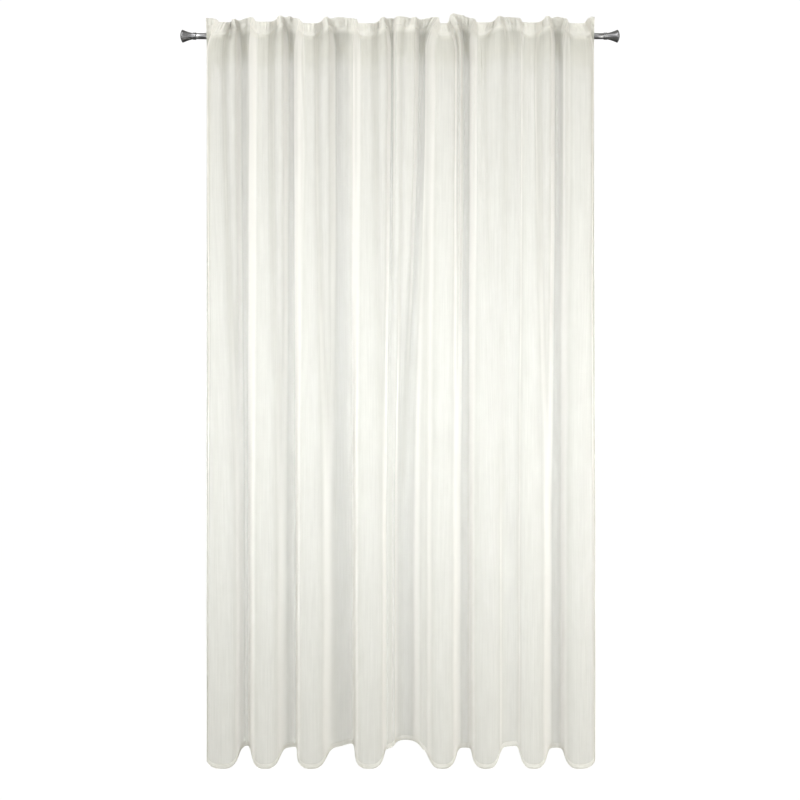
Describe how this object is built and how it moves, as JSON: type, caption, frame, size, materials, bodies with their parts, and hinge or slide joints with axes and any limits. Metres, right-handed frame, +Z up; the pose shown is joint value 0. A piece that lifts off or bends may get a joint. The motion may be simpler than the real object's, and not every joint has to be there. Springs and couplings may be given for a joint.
{
  "type": "sheer voile curtain on a curtain rod",
  "caption": "Sheer cream voile curtain gathered in soft uneven folds on a plain metal rod, with a ruffled taped heading, hidden back tabs and flared end knobs.",
  "frame": {"origin": "on the rod's axis, halfway along the rod, where wall brackets hold it level", "axes": "+Z up, +X along the rod to the right as seen from the room, +Y away from the room, towards the window"},
  "size_m": [1.476, 0.108, 2.5132],
  "materials": {
    "voile": "sheer cream voile, fine plain weave",
    "tape": "white woven heading tape",
    "steel": "satin grey metal"
  },
  "bodies": {
    "root": {"curtain_panel": "voile", "heading_tape": "tape", "back_tab_1": "tape", "back_tab_2": "tape", "back_tab_3": "tape", "back_tab_4": "tape", "back_tab_5": "tape", "back_tab_6": "tape", "back_tab_7": "tape", "back_tab_8": "tape", "back_tab_9": "tape", "rod": "steel", "finial_left": "steel", "finial_right": "steel"}
  },
  "joints": []
}
